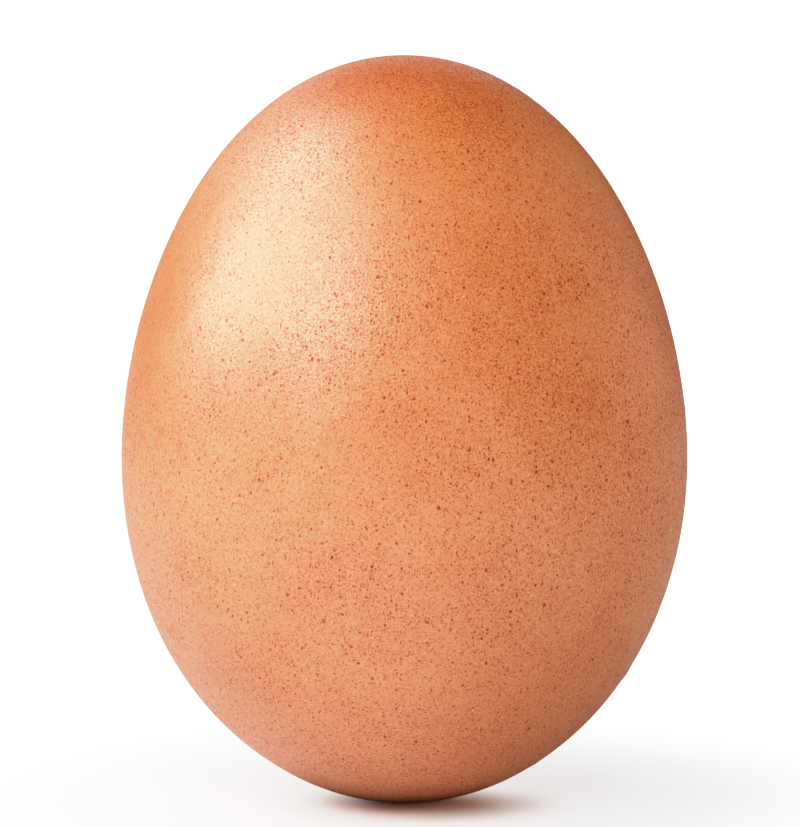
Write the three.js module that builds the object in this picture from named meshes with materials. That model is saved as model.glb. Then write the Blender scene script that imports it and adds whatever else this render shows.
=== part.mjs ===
// A brown hen's egg that stands on a small flat spot at its blunt end.
//
// Units are millimetres and +Z is up. The origin is the centre of the flat spot, which
// rests on the surface, and the long axis of the egg stands along +Z.
//
// A hen lays an egg as one closed piece, so the object is one solid: the shell with all
// that it holds.

import * as THREE from 'three';

// Driving dimensions.
const EGG_HEIGHT = 57.0; // from the flat spot to the tip of the pointed end
const EGG_WIDTH = 43.2; // across the widest ring
const FLAT_SPOT_DEPTH = 0.28; // what the flat spot takes off the blunt end

// The outline is an oval, r = A cos(t) f(s), z = B s with s = sin(t), where
// f(s) = 1 + TAPER s + FULLNESS s^2 + TIP_FULLNESS s^3 makes the oval an egg.
const TAPER = -0.077; // narrows the upper end and widens the lower end
const FULLNESS = 0.008; // fills out both ends
const TIP_FULLNESS = 0.041; // gives a little of the taper back close to the ends

// How finely the solid is faceted.
const RINGS = 40; // from the edge of the flat spot to the tip
const SEGMENTS = 64; // round the axis

// The finish of the shell.
const SHELL_COLOUR = 0xd98d5f;
const SHELL_ROUGHNESS = 0.5;
const SHELL_METALNESS = 0;

function ovalReach(angle) {
  const s = Math.sin(angle);
  return Math.cos(angle) * (1 + TAPER * s + FULLNESS * s ** 2 + TIP_FULLNESS * s ** 3);
}

// The angle of the widest ring is where the reach stops growing. It lies within
// a quarter turn of the middle, and halving the range finds it.
function widestAngle() {
  const step = 1e-6;
  let low = -Math.PI / 4;
  let high = Math.PI / 4;
  while (high - low > step) {
    const middle = (low + high) / 2;
    if (ovalReach(middle + step) > ovalReach(middle)) {
      low = middle;
    } else {
      high = middle;
    }
  }
  return low;
}

// The half outline, from the middle of the flat spot out to its edge, then up the side
// to the tip. It starts and ends on the axis.
function eggOutline() {
  const halfLength = (EGG_HEIGHT + FLAT_SPOT_DEPTH) / 2;
  const halfWidth = EGG_WIDTH / 2 / ovalReach(widestAngle());
  const flatSpotAngle = Math.asin(FLAT_SPOT_DEPTH / halfLength - 1);
  const points = [new THREE.Vector2(0, 0)];
  for (let ring = 0; ring < RINGS; ring += 1) {
    const angle = THREE.MathUtils.lerp(flatSpotAngle, Math.PI / 2, ring / RINGS);
    const height = halfLength * (Math.sin(angle) + 1) - FLAT_SPOT_DEPTH;
    points.push(new THREE.Vector2(halfWidth * ovalReach(angle), height));
  }
  points.push(new THREE.Vector2(0, EGG_HEIGHT));
  return points;
}

function makeEgg() {
  const shell = new THREE.MeshStandardMaterial({
    color: SHELL_COLOUR,
    roughness: SHELL_ROUGHNESS,
    metalness: SHELL_METALNESS,
  });
  const egg = new THREE.Mesh(new THREE.LatheGeometry(eggOutline(), SEGMENTS), shell);
  egg.name = 'egg';
  // A lathe turns its outline round Y, and the egg stands along Z.
  egg.rotation.x = Math.PI / 2;
  return egg;
}

const object = new THREE.Group();
object.add(makeEgg());

export default object;
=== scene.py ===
"""A brown speckled hen's egg that stands on its blunt end in a plain pale studio.

Run as a script, it loads the fixed frame, models the shell of the egg, and sets up the
floor, the lights and the camera. Sizes are in metres, and the frame's +Z is up.
"""

import math
import random

import bpy
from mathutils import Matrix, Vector


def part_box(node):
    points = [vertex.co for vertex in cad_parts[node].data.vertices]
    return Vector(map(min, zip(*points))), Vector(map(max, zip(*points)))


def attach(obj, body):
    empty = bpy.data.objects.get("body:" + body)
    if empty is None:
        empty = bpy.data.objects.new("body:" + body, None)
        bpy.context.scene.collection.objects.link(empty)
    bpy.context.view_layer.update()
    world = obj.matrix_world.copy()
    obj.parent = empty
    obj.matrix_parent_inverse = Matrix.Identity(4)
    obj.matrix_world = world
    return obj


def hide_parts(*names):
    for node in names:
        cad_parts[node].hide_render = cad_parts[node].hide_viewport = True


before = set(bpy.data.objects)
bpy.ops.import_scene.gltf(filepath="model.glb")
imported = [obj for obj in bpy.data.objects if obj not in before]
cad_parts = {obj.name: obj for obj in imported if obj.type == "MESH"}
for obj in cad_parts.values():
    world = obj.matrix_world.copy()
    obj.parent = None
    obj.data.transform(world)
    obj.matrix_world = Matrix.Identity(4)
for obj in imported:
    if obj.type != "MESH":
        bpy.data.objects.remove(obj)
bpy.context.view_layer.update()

bl_info = {
    "name": "Speckled Egg",
    "version": (1, 0, 0),
    "blender": (4, 5, 0),
    "location": "View3D > Sidebar > Egg",
    "description": "Models a brown speckled hen's egg on a plain studio floor",
    "category": "Add Mesh",
}

MM = 0.001
EGG_LOW, EGG_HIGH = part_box("egg")
EGG_HEIGHT = EGG_HIGH.z - EGG_LOW.z
EGG_WIDTH = EGG_HIGH.x - EGG_LOW.x

# Each soft light, as its name, how many degrees it stands round to the left of the
# camera, how many degrees up, its width, its height, its power in watts and whether it
# glints on the shell. The others only soften the shadows.
LIGHT_DISTANCE = 0.6
LIGHTS = (
    ("key", 48, 30, 0.34, 0.28, 1.46, True),
    ("key_high", 60, 54, 0.26, 0.26, 0.4, True),
    ("left", 92, 24, 0.26, 0.26, 1.42, True),
    ("left_high", 95, 54, 0.26, 0.26, 1.25, True),
    ("front_left", 26, 38, 0.26, 0.26, 0.50, True),
    ("front", 0, 38, 0.26, 0.26, 1.32, False),
    ("front_low", 330, 8, 0.26, 0.12, 1.05, False),
    ("right_low", 240, 6, 0.26, 0.12, 1.0, False),
    ("right", 244, 26, 0.26, 0.26, 0.63, False),
    ("back", 180, 28, 0.26, 0.26, 0.4, False),
    ("back_left", 128, 40, 0.26, 0.26, 0.6, True),
    ("rim", 176, 22, 0.40, 0.24, 0.26, True),
    ("left_edge", 150, 24, 0.26, 0.26, 0.14, True),
    ("right_edge", 224, 8, 0.26, 0.20, 0.05, True),
)


# ---------------------------------------------------------------------------
# What a user would change
# ---------------------------------------------------------------------------


class EggFormSettings(bpy.types.PropertyGroup):
    """The form of the shell. The outline is an oval whose half width is scaled by
    1 + taper s + fullness s^2 + tip s^3, where s runs from -1 at the blunt end to 1."""

    height: bpy.props.FloatProperty(
        name="Height",
        description="From the flat spot to the pointed tip",
        default=EGG_HEIGHT,
        unit="LENGTH",
    )
    width: bpy.props.FloatProperty(
        name="Width",
        description="Across the widest ring",
        default=EGG_WIDTH,
        unit="LENGTH",
    )
    flat_spot_depth: bpy.props.FloatProperty(
        name="Flat Spot Depth",
        description="What the flat spot takes off the blunt end",
        default=0.18 * MM,
        unit="LENGTH",
    )
    flat_spot_blend: bpy.props.FloatProperty(
        name="Flat Spot Blend",
        description="The height over which the flat spot runs into the side",
        default=0.12 * MM,
        unit="LENGTH",
    )
    taper: bpy.props.FloatProperty(
        name="Taper",
        description="Narrows the upper end where it is below zero",
        default=-0.077,
    )
    fullness: bpy.props.FloatProperty(
        name="Fullness",
        description="Fills out both ends",
        default=0.008,
    )
    tip: bpy.props.FloatProperty(
        name="Tip Fullness",
        description="Gives a little of the taper back close to the ends",
        default=0.041,
    )
    unevenness: bpy.props.FloatProperty(
        name="Unevenness",
        description="How far the shell dips in from its even outline, over 10 to 20 mm",
        default=0.07 * MM,
        unit="LENGTH",
    )
    ripple: bpy.props.FloatProperty(
        name="Ripple",
        description="How far the shell dips in over 1 to 3 mm",
        default=0.012 * MM,
        unit="LENGTH",
    )
    grain_count: bpy.props.IntProperty(
        name="Grains",
        description="How many raised grains of lime sit on the shell",
        default=46,
        min=0,
    )


class EggFinishSettings(bpy.types.PropertyGroup):
    """The colours and the surface of the shell."""

    ground: bpy.props.FloatVectorProperty(
        name="Ground",
        description="The palest brown, where there is least pigment",
        subtype="COLOR",
        size=3,
        min=0.0,
        max=1.0,
        default=(0.660, 0.260, 0.109),
    )
    pigment: bpy.props.FloatVectorProperty(
        name="Pigment",
        description="What one full layer of pigment lets through",
        subtype="COLOR",
        size=3,
        min=0.0,
        max=1.0,
        default=(0.68, 0.28, 0.078),
    )
    lime: bpy.props.FloatVectorProperty(
        name="Lime",
        description="The pale specks of bare lime",
        subtype="COLOR",
        size=3,
        min=0.0,
        max=1.0,
        default=(0.80, 0.62, 0.50),
    )
    roughness: bpy.props.FloatProperty(
        name="Roughness",
        description="The satin of the shell between its grains",
        default=0.40,
        min=0.0,
        max=1.0,
    )
    pit_depth: bpy.props.FloatProperty(
        name="Pit Depth",
        description="How deep the pits under the speckles look",
        default=0.012 * MM,
        unit="LENGTH",
    )


class EggStudioSettings(bpy.types.PropertyGroup):
    """The camera, the floor and the light."""

    camera_height_angle: bpy.props.FloatProperty(
        name="Camera Height",
        description="How far the camera looks down on the egg",
        subtype="ANGLE",
        default=math.radians(7.0),
    )
    camera_distance: bpy.props.FloatProperty(
        name="Camera Distance",
        description="From the camera to the middle of the egg",
        unit="LENGTH",
        default=0.5,
    )
    view_width: bpy.props.FloatProperty(
        name="View Width",
        description="What the picture spans at the egg",
        unit="LENGTH",
        default=60.98 * MM,
    )
    light_power: bpy.props.FloatProperty(
        name="Light Power",
        description="Scales every lamp",
        default=1.0,
        min=0.0,
    )
    backdrop: bpy.props.FloatProperty(
        name="Backdrop",
        description="How bright the white behind the egg looks",
        default=1.8,
        min=0.0,
    )
    floor_reach: bpy.props.FloatProperty(
        name="Floor Reach",
        description="How far from the egg the floor has turned into the white backdrop",
        unit="LENGTH",
        default=50.0 * MM,
    )
    floor: bpy.props.FloatVectorProperty(
        name="Floor",
        description="The colour of the floor",
        subtype="COLOR",
        size=3,
        min=0.0,
        max=1.0,
        default=(0.78, 0.78, 0.78),
    )


# ---------------------------------------------------------------------------
# Small helpers
# ---------------------------------------------------------------------------


def start_afresh():
    """Leaves nothing selected, because an operator acts on all that is."""
    bpy.ops.object.select_all(action="DESELECT")


def shade_smooth(piece):
    start_afresh()
    piece.select_set(True)
    bpy.context.view_layer.objects.active = piece
    bpy.ops.object.shade_smooth()


def node_tree(material):
    """An empty tree with its output and one Principled shader, already joined."""
    material.use_nodes = True
    tree = material.node_tree
    tree.nodes.clear()
    output = tree.nodes.new("ShaderNodeOutputMaterial")
    shader = tree.nodes.new("ShaderNodeBsdfPrincipled")
    tree.links.new(shader.outputs["BSDF"], output.inputs["Surface"])
    return tree, shader


class Wires:
    """Builds nodes in one tree. A value that is itself a socket is linked."""

    def __init__(self, tree):
        self.tree = tree

    def put(self, socket, value):
        if isinstance(value, bpy.types.NodeSocket):
            self.tree.links.new(value, socket)
        else:
            socket.default_value = value

    def math(self, operation, first, second=0.0, clamp=False):
        node = self.tree.nodes.new("ShaderNodeMath")
        node.operation = operation
        node.use_clamp = clamp
        self.put(node.inputs[0], first)
        self.put(node.inputs[1], second)
        return node.outputs["Value"]

    def vector(self, operation, first, second):
        node = self.tree.nodes.new("ShaderNodeVectorMath")
        node.operation = operation
        self.put(node.inputs[0], first)
        self.put(node.inputs[1], second)
        return node.outputs["Value" if operation in ("DISTANCE", "DOT_PRODUCT") else "Vector"]

    def times(self, vector, factor):
        node = self.tree.nodes.new("ShaderNodeVectorMath")
        node.operation = "SCALE"
        self.put(node.inputs[0], vector)
        self.put(node.inputs["Scale"], factor)
        return node.outputs["Vector"]

    def fade(self, value, low, high, low_gives=0.0, high_gives=1.0):
        """Goes smoothly from low_gives at low to high_gives at high."""
        node = self.tree.nodes.new("ShaderNodeMapRange")
        node.interpolation_type = "SMOOTHSTEP"
        self.put(node.inputs["Value"], value)
        self.put(node.inputs["From Min"], low)
        self.put(node.inputs["From Max"], high)
        self.put(node.inputs["To Min"], low_gives)
        self.put(node.inputs["To Max"], high_gives)
        return node.outputs["Result"]

    def noise(self, place, size, detail=2.0):
        """Soft noise whose lumps are about as wide as size."""
        node = self.tree.nodes.new("ShaderNodeTexNoise")
        self.put(node.inputs["Vector"], place)
        self.put(node.inputs["Scale"], 1.0 / size)
        self.put(node.inputs["Detail"], detail)
        return node.outputs["Fac"], node.outputs["Color"]

    def dots(self, place, spacing):
        """The distance to the nearest dot, and three random numbers of that dot."""
        node = self.tree.nodes.new("ShaderNodeTexVoronoi")
        self.put(node.inputs["Vector"], place)
        self.put(node.inputs["Scale"], 1.0 / spacing)
        distance = self.math("MULTIPLY", node.outputs["Distance"], spacing)
        split = self.tree.nodes.new("ShaderNodeSeparateColor")
        self.put(split.inputs["Color"], node.outputs["Color"])
        return distance, split.outputs

    def mix(self, factor, first, second):
        node = self.tree.nodes.new("ShaderNodeMix")
        node.data_type = "RGBA"
        self.put(node.inputs["Factor"], factor)
        self.put(node.inputs[6], first)
        self.put(node.inputs[7], second)
        return node.outputs[2]


# ---------------------------------------------------------------------------
# The shell
# ---------------------------------------------------------------------------

# A cube's sides become the shell, so they are cut evenly, twice over, into this many
# strips each: 11 by 11.
FIRST_CUTS = 10
SECOND_CUTS = 10

# The map lays the six sides of the cube out three across and two up, with a margin
# round each.
MAP_COLUMNS = 3
MAP_ROWS = 2
MAP_MARGIN = 0.004

# The widest ring of the oval is searched for at this many heights.
SEARCH_STEPS = 2000

# The dips in the shell: how wide the large and the small ones are, and the heights over
# which they fade in above the flat spot.
UNEVENNESS_SIZE = 14.0 * MM
RIPPLE_SIZE = 1.5 * MM
DIPS_START = 0.4 * MM
DIPS_FULL = 3.0 * MM

# The raised grains: how far they stay from the two ends, their radius, and their height
# as a share of it.
RANDOM_SEED = 57
GRAINS_ABOVE = 2.5 * MM
GRAINS_BELOW_TIP = 1.5 * MM
GRAIN_RADIUS = (0.35 * MM, 0.75 * MM)
GRAIN_HEIGHT = (0.03, 0.10)


def add_even_cube():
    """Adds a cube of 2 m with its sides cut into an even grid."""
    start_afresh()
    bpy.ops.mesh.primitive_cube_add(size=2.0)
    egg = bpy.context.object
    egg.name = "egg_shell"
    egg.data.name = "egg_shell"
    bpy.ops.object.mode_set(mode="EDIT")
    bpy.ops.mesh.select_all(action="SELECT")
    bpy.ops.mesh.subdivide(number_cuts=FIRST_CUTS)
    bpy.ops.mesh.subdivide(number_cuts=SECOND_CUTS)
    bpy.ops.object.mode_set(mode="OBJECT")
    return egg


def map_place(cell, cells, place):
    """Where a place from -1 to 1 on a side of the cube falls in its cell of the map."""
    inside = (1 - 2 * MAP_MARGIN * cells) * (place + 1) / 2
    return (cell + inside) / cells + MAP_MARGIN


def lay_out_map(egg):
    """Gives each side of the cube its own cell of the map, before the cube is rounded."""
    mesh = egg.data
    while mesh.uv_layers:
        mesh.uv_layers.remove(mesh.uv_layers[0])
    layer = mesh.uv_layers.new(name="OFBake")
    for face in mesh.polygons:
        axis = max(range(3), key=lambda i: abs(face.normal[i]))
        across, up = (i for i in range(3) if i != axis)
        side = 2 * axis + (face.normal[axis] > 0)
        row, column = divmod(side, MAP_COLUMNS)
        for corner in face.loop_indices:
            point = mesh.vertices[mesh.loops[corner].vertex_index].co
            u = map_place(column, MAP_COLUMNS, point[across])
            v = map_place(row, MAP_ROWS, point[up])
            layer.data[corner].uv = (u, v)


def width_factor(form, s):
    """How the half width of the oval is scaled at s."""
    return 1 + form.taper * s + form.fullness * s**2 + form.tip * s**3


def widest_reach(form):
    """The widest that the oval gets, for a half width of 1."""
    heights = (2 * i / SEARCH_STEPS - 1 for i in range(SEARCH_STEPS + 1))
    return max(math.sqrt(1 - s * s) * width_factor(form, s) for s in heights)


def round_into_egg(egg, form):
    """Moves the cube's points out to the outline, evenly by angle, and flattens the
    lowest part into the spot that the egg stands on."""
    half_length = (form.height + form.flat_spot_depth) / 2
    half_width = form.width / 2 / widest_reach(form)
    blend = form.flat_spot_blend
    for vertex in egg.data.vertices:
        way = Vector(math.tan(c * math.pi / 4) for c in vertex.co).normalized()
        reach = half_width * width_factor(form, way.z)
        z = half_length * (way.z + 1) - form.flat_spot_depth
        if z < -blend:
            z = 0.0
        elif z < blend:
            z = (z + blend) ** 2 / (4 * blend)
        vertex.co = (way.x * reach, way.y * reach, z)
    egg.data.update()


def free_of_the_flat_spot(egg, name, low, high):
    """A vertex group that fades in from nothing at low to all at high, so that what it
    masks leaves the flat spot alone."""
    group = egg.vertex_groups.new(name=name)
    for vertex in egg.data.vertices:
        share = min(max((vertex.co.z - low) / (high - low), 0.0), 1.0)
        group.add([vertex.index], share, "REPLACE")
    return group


def dip_shell(egg, name, size, depth, group):
    """Presses soft dips of that size and depth into the shell."""
    clouds = bpy.data.textures.new(name, "CLOUDS")
    clouds.noise_scale = size
    clouds.noise_depth = 1
    dips = egg.modifiers.new(name, "DISPLACE")
    dips.texture = clouds
    dips.texture_coords = "LOCAL"
    dips.direction = "NORMAL"
    dips.mid_level = 1.0
    dips.strength = depth
    dips.vertex_group = group.name
    start_afresh()
    egg.select_set(True)
    bpy.context.view_layer.objects.active = egg
    bpy.ops.object.modifier_apply(modifier=name)


def raise_grains(egg, form):
    """Raises small rounded grains of lime at random places."""
    rng = random.Random(RANDOM_SEED)
    lowest, highest = GRAINS_ABOVE, form.height - GRAINS_BELOW_TIP
    grains = []
    while len(grains) < form.grain_count:
        place = rng.choice(egg.data.vertices)
        if lowest < place.co.z < highest:
            radius = rng.uniform(*GRAIN_RADIUS)
            height = radius * rng.uniform(*GRAIN_HEIGHT)
            grains.append((place.co.copy(), place.normal.copy(), radius, height))
    for centre, normal, radius, height in grains:
        for vertex in egg.data.vertices:
            away = (vertex.co - centre).length
            if away < radius:
                vertex.co += normal * height * (1 - (away / radius) ** 2) ** 2
    egg.data.update()


# Where the speckles are stronger or weaker than elsewhere, as a centre, a reach and by how
# much: the tip, a patch high on the front, the right and a barer patch on the left. The barer
# patch lies where the highlight falls, and its fewer, paler speckles are a painted highlight.
SPECKLE_AND_HIGHLIGHT_PATCHES = (
    ((0, 0, 57 * MM), 18 * MM, 0.80),
    ((6 * MM, -18 * MM, 37 * MM), 6 * MM, 0.15),
    ((19 * MM, -8 * MM, 33 * MM), 19 * MM, 0.40),
    # A painted highlight: fewer, paler speckles where the highlight falls.
    ((-9 * MM, -15 * MM, 43 * MM), 10 * MM, -0.45),
)

# Where the ground is darker: towards the tip and, a little, at the shoulder on the left; and,
# as painted shade, on the lower right, away from the lights, and at the foot, where the egg
# meets the floor.
PIGMENT_AND_SHADE_PATCHES = (
    ((0, 0, 57 * MM), 18 * MM, 0.16),
    ((13 * MM, -11 * MM, 6 * MM), 24 * MM, 0.09),
    ((3 * MM, -3.5 * MM, 0), 5.5 * MM, 0.24),
    ((-10 * MM, -13 * MM, 46 * MM), 12 * MM, 0.06),
)

# A patch is at its full strength out to this share of its reach.
PATCH_CORE = 0.2

# Elsewhere the speckles crowd and thin out in clouds of this size, between these
# strengths.
CROWD_SIZE = 7.0 * MM
CROWD_SHIFT = (0.31, 0.12, 0.07)
CROWD_STRENGTH = (0.85, 1.20)

# The layers of speckles: the spacing, the radius, the share that is kept, the strength,
# and how far the pattern is shifted so that the layers fall in different places.
SPECKLE_LAYERS = (
    (0.20 * MM, 0.066 * MM, 0.90, 0.80, 0.11),
    (0.32 * MM, 0.074 * MM, 0.90, 1.00, 0.23),
    (0.47 * MM, 0.088 * MM, 0.80, 1.80, 0.37),
    (1.50 * MM, 0.120 * MM, 0.50, 2.40, 0.53),
)

# How much of a speckle's radius its soft edge takes up, the smallest radius and strength
# as shares of the layer's, and how much more chance adds to the strength.
SPECKLE_SOFTNESS = 0.35
SMALLEST_RADIUS = 0.45
WEAKEST = 0.5
CHANCE_STRENGTH = 0.6

# The drift that makes the speckles uneven in outline, and their stretch along the egg.
DRIFT_SIZE = 0.9 * MM
DRIFT = 0.55 * MM
SPECKLE_STRETCH = (1.06, 1.06, 0.84)

# The uneven tones of the ground: how wide each is, and how much pigment it adds at most.
# The rest is what the palest ground has less than the middle tone.
CLOUD_SIZE, CLOUD_PIGMENT = 13.0 * MM, 0.14
MOTTLE_SIZE, MOTTLE_PIGMENT = 2.4 * MM, 0.17
GRAIN_SIZE, GRAIN_PIGMENT = 0.17 * MM, 0.38
CROWDING_PIGMENT = 0.12
LESS_PIGMENT = 0.31

# The height of the fine grain, and how much duller the speckles are than the ground.
TOOTH_HEIGHT = 0.030 * MM
SPECKLE_DULLNESS = 0.30


def add_patches(wires, place, amount, patches):
    """Adds to the amount what each patch changes, fading out towards its reach."""
    for centre, reach, change in patches:
        away = wires.vector("DISTANCE", place, centre)
        patch = wires.fade(away, PATCH_CORE * reach, reach, change, 0.0)
        amount = wires.math("ADD", amount, patch)
    return amount


def crowding_over(wires, place):
    """How strong the speckles are at each place. They are weaker where the highlight falls,
    as a painted highlight.
    """
    clouds, _ = wires.noise(wires.vector("ADD", place, CROWD_SHIFT), CROWD_SIZE)
    crowding = wires.fade(clouds, 0.32, 0.68, *CROWD_STRENGTH)
    return add_patches(wires, place, crowding, SPECKLE_AND_HIGHLIGHT_PATCHES)


def speckle_layer(wires, place, spacing, radius, share, strength):
    """One layer of round speckles, each of its own size and strength. The speckles whose
    random number is above share are left out."""
    distance, chance = wires.dots(place, spacing)
    own_radius = wires.math("MULTIPLY_ADD", chance["Red"], radius)
    own_radius.node.inputs[2].default_value = SMALLEST_RADIUS * radius
    inner = wires.math("MULTIPLY", own_radius, 1.0 - SPECKLE_SOFTNESS)
    mark = wires.fade(distance, inner, own_radius, 1.0, 0.0)
    kept = wires.math("LESS_THAN", chance["Green"], share)
    own_strength = wires.math("MULTIPLY_ADD", chance["Blue"], CHANCE_STRENGTH * strength)
    own_strength.node.inputs[2].default_value = WEAKEST * strength
    return wires.math("MULTIPLY", wires.math("MULTIPLY", mark, kept), own_strength)


def speckles_over(wires, drifted, crowding):
    """All the speckles, as how many layers of pigment they add."""
    place = wires.vector("MULTIPLY", drifted, SPECKLE_STRETCH)
    marks = 0.0
    for spacing, radius, share, strength, shift in SPECKLE_LAYERS:
        shifted = wires.vector("ADD", place, (shift, shift / 2, shift / 3))
        layer = speckle_layer(wires, shifted, spacing, radius, share, strength)
        marks = wires.math("ADD", marks, layer)
    return wires.math("MULTIPLY", marks, crowding)


def ground_pigment_and_shade(wires, place, grain, crowding):
    """The pigment between the speckles: clouds, mottle and grain, with the darker patches, of
    which the foot and the lower right are painted shade.
    """
    clouds, _ = wires.noise(place, CLOUD_SIZE)
    mottle, _ = wires.noise(place, MOTTLE_SIZE, detail=3.0)
    specks = wires.fade(grain, 0.34, 0.72, 0.0, GRAIN_PIGMENT)
    wash = wires.math("MULTIPLY", clouds, CLOUD_PIGMENT)
    wash = wires.math("ADD", wash, wires.math("MULTIPLY", mottle, MOTTLE_PIGMENT))
    wash = wires.math("ADD", wash, wires.math("MULTIPLY", specks, crowding))
    wash = wires.math("ADD", wash, wires.math("MULTIPLY", crowding, CROWDING_PIGMENT))
    # The patches at the foot and on the lower right add painted shade.
    wash = add_patches(wires, place, wash, PIGMENT_AND_SHADE_PATCHES)
    return wires.math("SUBTRACT", wash, LESS_PIGMENT)


def stain(wires, ground, pigment, layer_count):
    """The ground colour under so many layers of pigment. Each layer lets the same share
    of each colour through."""
    let_through = wires.tree.nodes.new("ShaderNodeCombineColor")
    for channel, share in zip(("Red", "Green", "Blue"), pigment):
        wires.put(let_through.inputs[channel], wires.math("POWER", share, layer_count))
    stained = wires.tree.nodes.new("ShaderNodeMix")
    stained.data_type = "RGBA"
    stained.blend_type = "MULTIPLY"
    stained.inputs["Factor"].default_value = 1.0
    wires.put(stained.inputs[6], (*ground, 1.0))
    wires.put(stained.inputs[7], let_through.outputs["Color"])
    return stained.outputs[2]


def scatter(wires, place, spacing, share, inner, outer, amount):
    """Lone round dots, which fade from the amount at inner to nothing at outer."""
    distance, chance = wires.dots(place, spacing)
    dot = wires.fade(distance, inner, outer, amount, 0.0)
    return wires.math("MULTIPLY", dot, wires.math("LESS_THAN", chance["Green"], share))


def shell_material(finish):
    """Brown shell: pigment thins or thickens over the ground colour, and gathers in speckles
    of several sizes, each a shallow pit. The darker ground at the foot and on the lower right
    is painted shade, and the barer patch where the highlight falls is a painted highlight."""
    material = bpy.data.materials.new("brown_eggshell")
    tree, shader = node_tree(material)
    wires = Wires(tree)
    place = tree.nodes.new("ShaderNodeTexCoord").outputs["Object"]
    _, drift = wires.noise(place, DRIFT_SIZE)
    drift = wires.vector("SUBTRACT", drift, (0.5, 0.5, 0.5))
    drifted = wires.vector("ADD", place, wires.times(drift, DRIFT))

    # The brown, with a few specks of bare lime.
    grain, _ = wires.noise(place, GRAIN_SIZE, detail=1.0)
    crowding = crowding_over(wires, place)
    marks = speckles_over(wires, drifted, crowding)
    ground = ground_pigment_and_shade(wires, place, grain, crowding)
    # These layers of pigment also carry the painted shade at the foot and on the lower right,
    # and the painted highlight of the barer patch.
    layer_count = wires.math("ADD", ground, marks)
    brown = stain(wires, finish.ground, finish.pigment, layer_count)
    lime_place = wires.vector("ADD", drifted, (0.7, 0.4, 0.9))
    lime = scatter(wires, lime_place, 1.2 * MM, 0.5, 0.03 * MM, 0.10 * MM, 0.7)
    colour = wires.mix(lime, brown, (*finish.lime, 1.0))
    wires.put(shader.inputs["Base Color"], colour)

    # Satin, a little duller where the grain is high, and duller in the speckles.
    full_marks = wires.math("MINIMUM", marks, 1.0)
    satin = wires.fade(grain, 0.3, 0.7, finish.roughness - 0.04, finish.roughness + 0.05)
    dull = wires.math("MULTIPLY", full_marks, SPECKLE_DULLNESS)
    wires.put(shader.inputs["Roughness"], wires.math("ADD", satin, dull))

    # Pits under the speckles, a fine grain over all, and small raised nubs.
    pits = wires.math("MULTIPLY", full_marks, -finish.pit_depth)
    tooth = wires.math("MULTIPLY", grain, TOOTH_HEIGHT)
    nub_place = wires.vector("ADD", drifted, (0.2, 0.6, 0.3))
    nubs = scatter(wires, nub_place, 0.95 * MM, 0.6, 0.02 * MM, 0.16 * MM, 0.022 * MM)
    relief = wires.math("ADD", wires.math("ADD", pits, tooth), nubs)
    bump = tree.nodes.new("ShaderNodeBump")
    bump.inputs["Strength"].default_value = 1.0
    bump.inputs["Distance"].default_value = 1.0
    wires.put(bump.inputs["Height"], relief)
    wires.put(shader.inputs["Normal"], bump.outputs["Normal"])

    shader.inputs["IOR"].default_value = 1.6
    shader.inputs["Specular IOR Level"].default_value = 1.0
    return material


class EGG_OT_add_shell(bpy.types.Operator):
    """Models the shell of the egg and gives it its brown speckled finish"""

    bl_idname = "egg.add_shell"
    bl_label = "Add Egg Shell"
    bl_options = {"REGISTER", "UNDO"}

    def execute(self, context):
        form = context.scene.egg_form
        egg = add_even_cube()
        lay_out_map(egg)
        round_into_egg(egg, form)
        mask = free_of_the_flat_spot(egg, "side", DIPS_START, DIPS_FULL)
        dip_shell(egg, "unevenness", UNEVENNESS_SIZE, form.unevenness, mask)
        dip_shell(egg, "ripple", RIPPLE_SIZE, form.ripple, mask)
        raise_grains(egg, form)
        egg.vertex_groups.clear()
        shade_smooth(egg)
        egg.data.materials.clear()
        egg.data.materials.append(shell_material(context.scene.egg_finish))
        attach(egg, "root")
        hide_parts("egg")
        return {"FINISHED"}


# ---------------------------------------------------------------------------
# The studio
# ---------------------------------------------------------------------------

FLOOR_RADIUS = 2.5
FLOOR_CORNERS = 128
BLACK = (0.0, 0.0, 0.0, 1.0)
WHITE = (1.0, 1.0, 1.0, 1.0)

# Round the foot of the egg the floor's colour turns warm, as painted bounce light from the
# shell, and the floor glows a little there, as a painted glow of that bounce light.
PAINTED_BOUNCE_COLOUR = (0.66, 0.38, 0.30, 1.0)
FOOT_CENTRE = (0.5 * MM, -1.0 * MM, 0.0)
GLOW_COLOUR = (1.0, 0.45, 0.30, 1.0)
GLOW_STRENGTH = 0.12

# How much of the white backdrop mixes into the floor round the foot, as painted light that
# leaves a painted contact shadow about a spot just in front of the foot, and how much mixes
# in far away, where the floor turns into the backdrop.
PAINTED_LIGHT_NEAR_FOOT = 0.36
PAINTED_SHADOW_CENTRE = (1.4 * MM, -4.4 * MM, 0.0)
FAR_WHITE = 0.64
FAR_START = 0.28


def dimmed_bounce(wires, rays, reach, across):
    """How much less light the floor sends to the egg than it would: under the egg, on the
    right and, in the gloss of the shell, more on the right."""
    under = wires.fade(reach, 5.0 * MM, 12.0 * MM, 0.60, 0.0)
    right = wires.fade(across, 4.0 * MM, 18.0 * MM, 0.0, 0.12)
    gleam = wires.fade(across, 0.0, 12.0 * MM, 0.05, 0.45)
    gleam = wires.math("MULTIPLY", rays["Is Glossy Ray"], gleam)
    dimmed = wires.math("MAXIMUM", under, wires.math("MAXIMUM", gleam, right))
    unseen = wires.math("SUBTRACT", 1.0, rays["Is Camera Ray"])
    return wires.math("MULTIPLY", unseen, dimmed)


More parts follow.
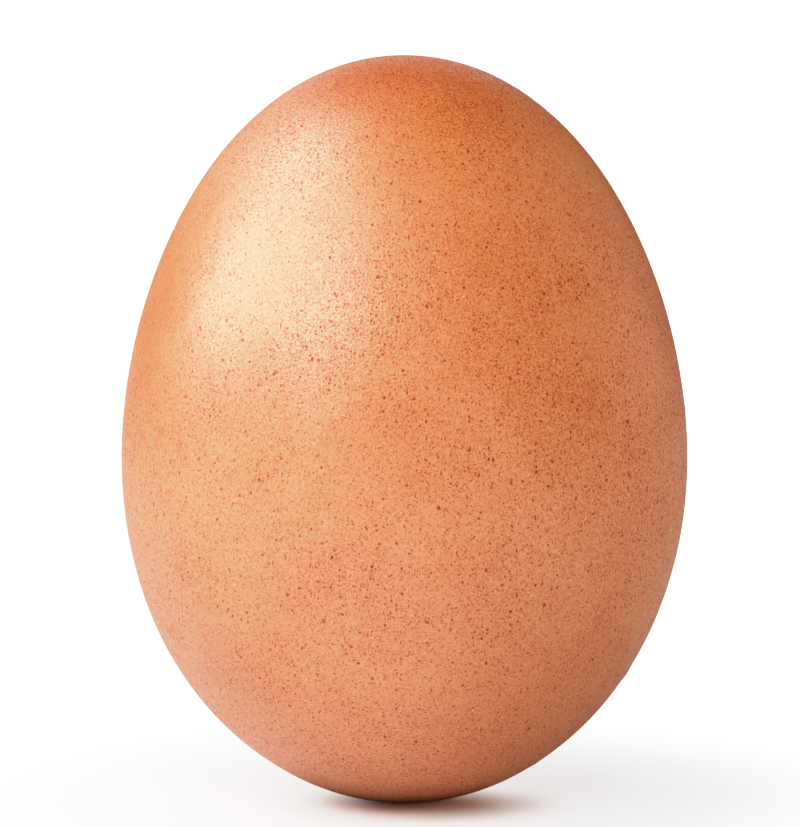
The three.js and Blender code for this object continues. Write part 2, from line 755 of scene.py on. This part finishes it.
def floor_material(studio):
    """Pale and dull, with painted warm bounce light round the foot of the egg. For the camera
    it turns into the white of the backdrop: round the foot as painted light that leaves a
    painted contact shadow in front of it, and fully far away."""
    material = bpy.data.materials.new("pale_floor")
    tree, shader = node_tree(material)
    shader.inputs["Roughness"].default_value = 0.8
    shader.inputs["Specular IOR Level"].default_value = 0.2
    wires = Wires(tree)
    rays = tree.nodes.new("ShaderNodeLightPath").outputs
    seen = rays["Is Camera Ray"]
    place = tree.nodes.new("ShaderNodeTexCoord").outputs["Object"]
    reach = wires.vector("DISTANCE", place, (0.0, 0.0, 0.0))
    across = wires.vector("DOT_PRODUCT", place, (1.0, 0.0, 0.0))

    # Painted bounce light: the floor's colour turns warm round the foot of the egg.
    foot_place = wires.vector("MULTIPLY", place, (0.8, 1.0, 1.0))
    foot = wires.vector("DISTANCE", foot_place, FOOT_CENTRE)
    painted_bounce_share = wires.fade(foot, 2.5 * MM, 7.0 * MM, 1.0, 0.0)
    floor_with_painted_bounce = wires.mix(painted_bounce_share, (*studio.floor, 1.0), PAINTED_BOUNCE_COLOUR)
    dimmed = dimmed_bounce(wires, rays, reach, across)
    wires.put(shader.inputs["Base Color"], wires.mix(dimmed, floor_with_painted_bounce, BLACK))

    # A painted glow of bounce light in a ring round the foot, which only the camera sees.
    glow = wires.fade(reach, 2.0 * MM, 5.5 * MM, 0.0, GLOW_STRENGTH)
    glow = wires.math("MULTIPLY", glow, wires.fade(reach, 6.0 * MM, 11.0 * MM, 1.0, 0.0))
    shader.inputs["Emission Color"].default_value = GLOW_COLOUR
    wires.put(shader.inputs["Emission Strength"], wires.math("MULTIPLY", glow, seen))

    # Painted light: the floor is lifted towards white round the foot, except near a spot just
    # in front of it, which leaves a painted contact shadow.
    near_place = wires.vector("MULTIPLY", place, (0.9, 1.0, 1.0))
    away = wires.vector("DISTANCE", near_place, PAINTED_SHADOW_CENTRE)
    painted_light_near = wires.fade(away, 2.5 * MM, 11.0 * MM, 0.0, PAINTED_LIGHT_NEAR_FOOT)
    floor_end = studio.floor_reach
    far = wires.fade(reach, FAR_START * floor_end, floor_end, 0.0, FAR_WHITE)
    backdrop_and_painted_light = wires.math("ADD", painted_light_near, far)
    white = tree.nodes.new("ShaderNodeEmission")
    white.inputs["Strength"].default_value = studio.backdrop
    both = tree.nodes.new("ShaderNodeMixShader")
    wires.put(both.inputs["Fac"], wires.math("MULTIPLY", backdrop_and_painted_light, seen))
    wires.put(both.inputs[1], shader.outputs["BSDF"])
    wires.put(both.inputs[2], white.outputs["Emission"])
    wires.put(tree.nodes["Material Output"].inputs["Surface"], both.outputs["Shader"])
    return material


def add_floor(studio):
    """A plain pale floor, level with the flat spot of the egg."""
    start_afresh()
    bpy.ops.mesh.primitive_circle_add(
        vertices=FLOOR_CORNERS,
        radius=FLOOR_RADIUS,
        fill_type="NGON",
        location=(0, 0, EGG_LOW.z),
    )
    floor = bpy.context.object
    floor.name = "floor"
    floor.data.materials.append(floor_material(studio))


def add_light(name, left, up, width, height, power, glints):
    """A soft light that faces the middle of the egg."""
    left, up = math.radians(left), math.radians(up)
    level = Vector((-math.sin(left), -math.cos(left), 0))
    way = level * math.cos(up) + Vector((0, 0, math.sin(up)))
    middle = Vector((0, 0, EGG_HEIGHT / 2))
    lamp = bpy.data.lights.new(name, "AREA")
    lamp.shape = "RECTANGLE"
    lamp.size = width
    lamp.size_y = height
    lamp.energy = power
    light = bpy.data.objects.new(name, lamp)
    bpy.context.scene.collection.objects.link(light)
    light.location = middle + way * LIGHT_DISTANCE
    light.rotation_euler = (-way).to_track_quat("-Z", "Y").to_euler()
    light.visible_glossy = glints


def add_room(studio):
    """A white backdrop all round, which the camera sees and which lights nothing."""
    world = bpy.data.worlds.new("white_room")
    world.use_nodes = True
    tree = world.node_tree
    tree.nodes.clear()
    white = tree.nodes.new("ShaderNodeBackground")
    output = tree.nodes.new("ShaderNodeOutputWorld")
    seen = tree.nodes.new("ShaderNodeLightPath").outputs["Is Camera Ray"]
    white.inputs["Color"].default_value = WHITE
    wires = Wires(tree)
    wires.put(white.inputs["Strength"], wires.math("MULTIPLY", seen, studio.backdrop))
    tree.links.new(white.outputs["Background"], output.inputs["Surface"])
    bpy.context.scene.world = world


# Where the camera aims, from the middle of the egg: to the side, and up in the picture.
AIM_ASIDE = -0.33 * MM
AIM_RISE = 1.145 * MM
CLIP_NEAR = 0.01
CLIP_FAR = 20.0


def add_camera(studio):
    """A long lens, a little above the middle of the egg, looking along +Y."""
    up = studio.camera_height_angle
    back = Vector((0, -math.cos(up), math.sin(up)))
    rise = Vector((0, math.sin(up), math.cos(up)))
    aim = Vector((AIM_ASIDE, 0, EGG_HEIGHT / 2)) + rise * AIM_RISE
    lens = bpy.data.cameras.new("camera")
    lens.sensor_fit = "HORIZONTAL"
    lens.lens = lens.sensor_width * studio.camera_distance / studio.view_width
    lens.clip_start = CLIP_NEAR
    lens.clip_end = CLIP_FAR
    camera = bpy.data.objects.new("camera", lens)
    bpy.context.scene.collection.objects.link(camera)
    camera.location = aim + back * studio.camera_distance
    camera.rotation_euler = (math.pi / 2 - up, 0, 0)
    bpy.context.scene.camera = camera


# The tone of the picture, as points of light in the scene and light on the screen: soft
# shadows, even middle tones, and a shoulder that ends in white.
WHITE_LEVEL = 1.6
TONE_POINTS = ((0.10, 0.082), (0.30, 0.285), (0.60, 0.600), (0.80, 0.785), (1.15, 0.905))


def set_tone():
    view = bpy.context.scene.view_settings
    view.view_transform = "Standard"
    view.look = "None"
    view.use_curve_mapping = True
    mapping = view.curve_mapping
    mapping.white_level = (WHITE_LEVEL, WHITE_LEVEL, WHITE_LEVEL)
    curve = mapping.curves[3]
    for scene_light, screen_light in TONE_POINTS:
        curve.points.new(scene_light / WHITE_LEVEL, screen_light)
    mapping.update()


class EGG_OT_add_studio(bpy.types.Operator):
    """Sets up the pale floor, the soft lights and the camera"""

    bl_idname = "egg.add_studio"
    bl_label = "Add Studio"
    bl_options = {"REGISTER", "UNDO"}

    def execute(self, context):
        studio = context.scene.egg_studio
        add_floor(studio)
        for name, left, up, width, height, power, glints in LIGHTS:
            add_light(name, left, up, width, height, power * studio.light_power, glints)
        add_room(studio)
        add_camera(studio)
        set_tone()
        return {"FINISHED"}


class EGG_PT_panel(bpy.types.Panel):
    """Lists the steps and what can be changed"""

    bl_idname = "EGG_PT_panel"
    bl_label = "Speckled Egg"
    bl_space_type = "VIEW_3D"
    bl_region_type = "UI"
    bl_category = "Egg"

    def draw(self, context):
        scene = context.scene
        for operator, settings in (
            (EGG_OT_add_shell.bl_idname, (scene.egg_form, scene.egg_finish)),
            (EGG_OT_add_studio.bl_idname, (scene.egg_studio,)),
        ):
            box = self.layout.box()
            for group in settings:
                for name in group.bl_rna.properties.keys():
                    if name not in ("rna_type", "name"):
                        box.prop(group, name)
            box.operator(operator)


CLASSES = (
    EggFormSettings,
    EggFinishSettings,
    EggStudioSettings,
    EGG_OT_add_shell,
    EGG_OT_add_studio,
    EGG_PT_panel,
)


def register():
    for cls in CLASSES:
        bpy.utils.register_class(cls)
    bpy.types.Scene.egg_form = bpy.props.PointerProperty(type=EggFormSettings)
    bpy.types.Scene.egg_finish = bpy.props.PointerProperty(type=EggFinishSettings)
    bpy.types.Scene.egg_studio = bpy.props.PointerProperty(type=EggStudioSettings)


def unregister():
    del bpy.types.Scene.egg_studio
    del bpy.types.Scene.egg_finish
    del bpy.types.Scene.egg_form
    for cls in reversed(CLASSES):
        bpy.utils.unregister_class(cls)


def main():
    register()
    bpy.ops.egg.add_shell()
    bpy.ops.egg.add_studio()


if __name__ == "__main__":
    main()
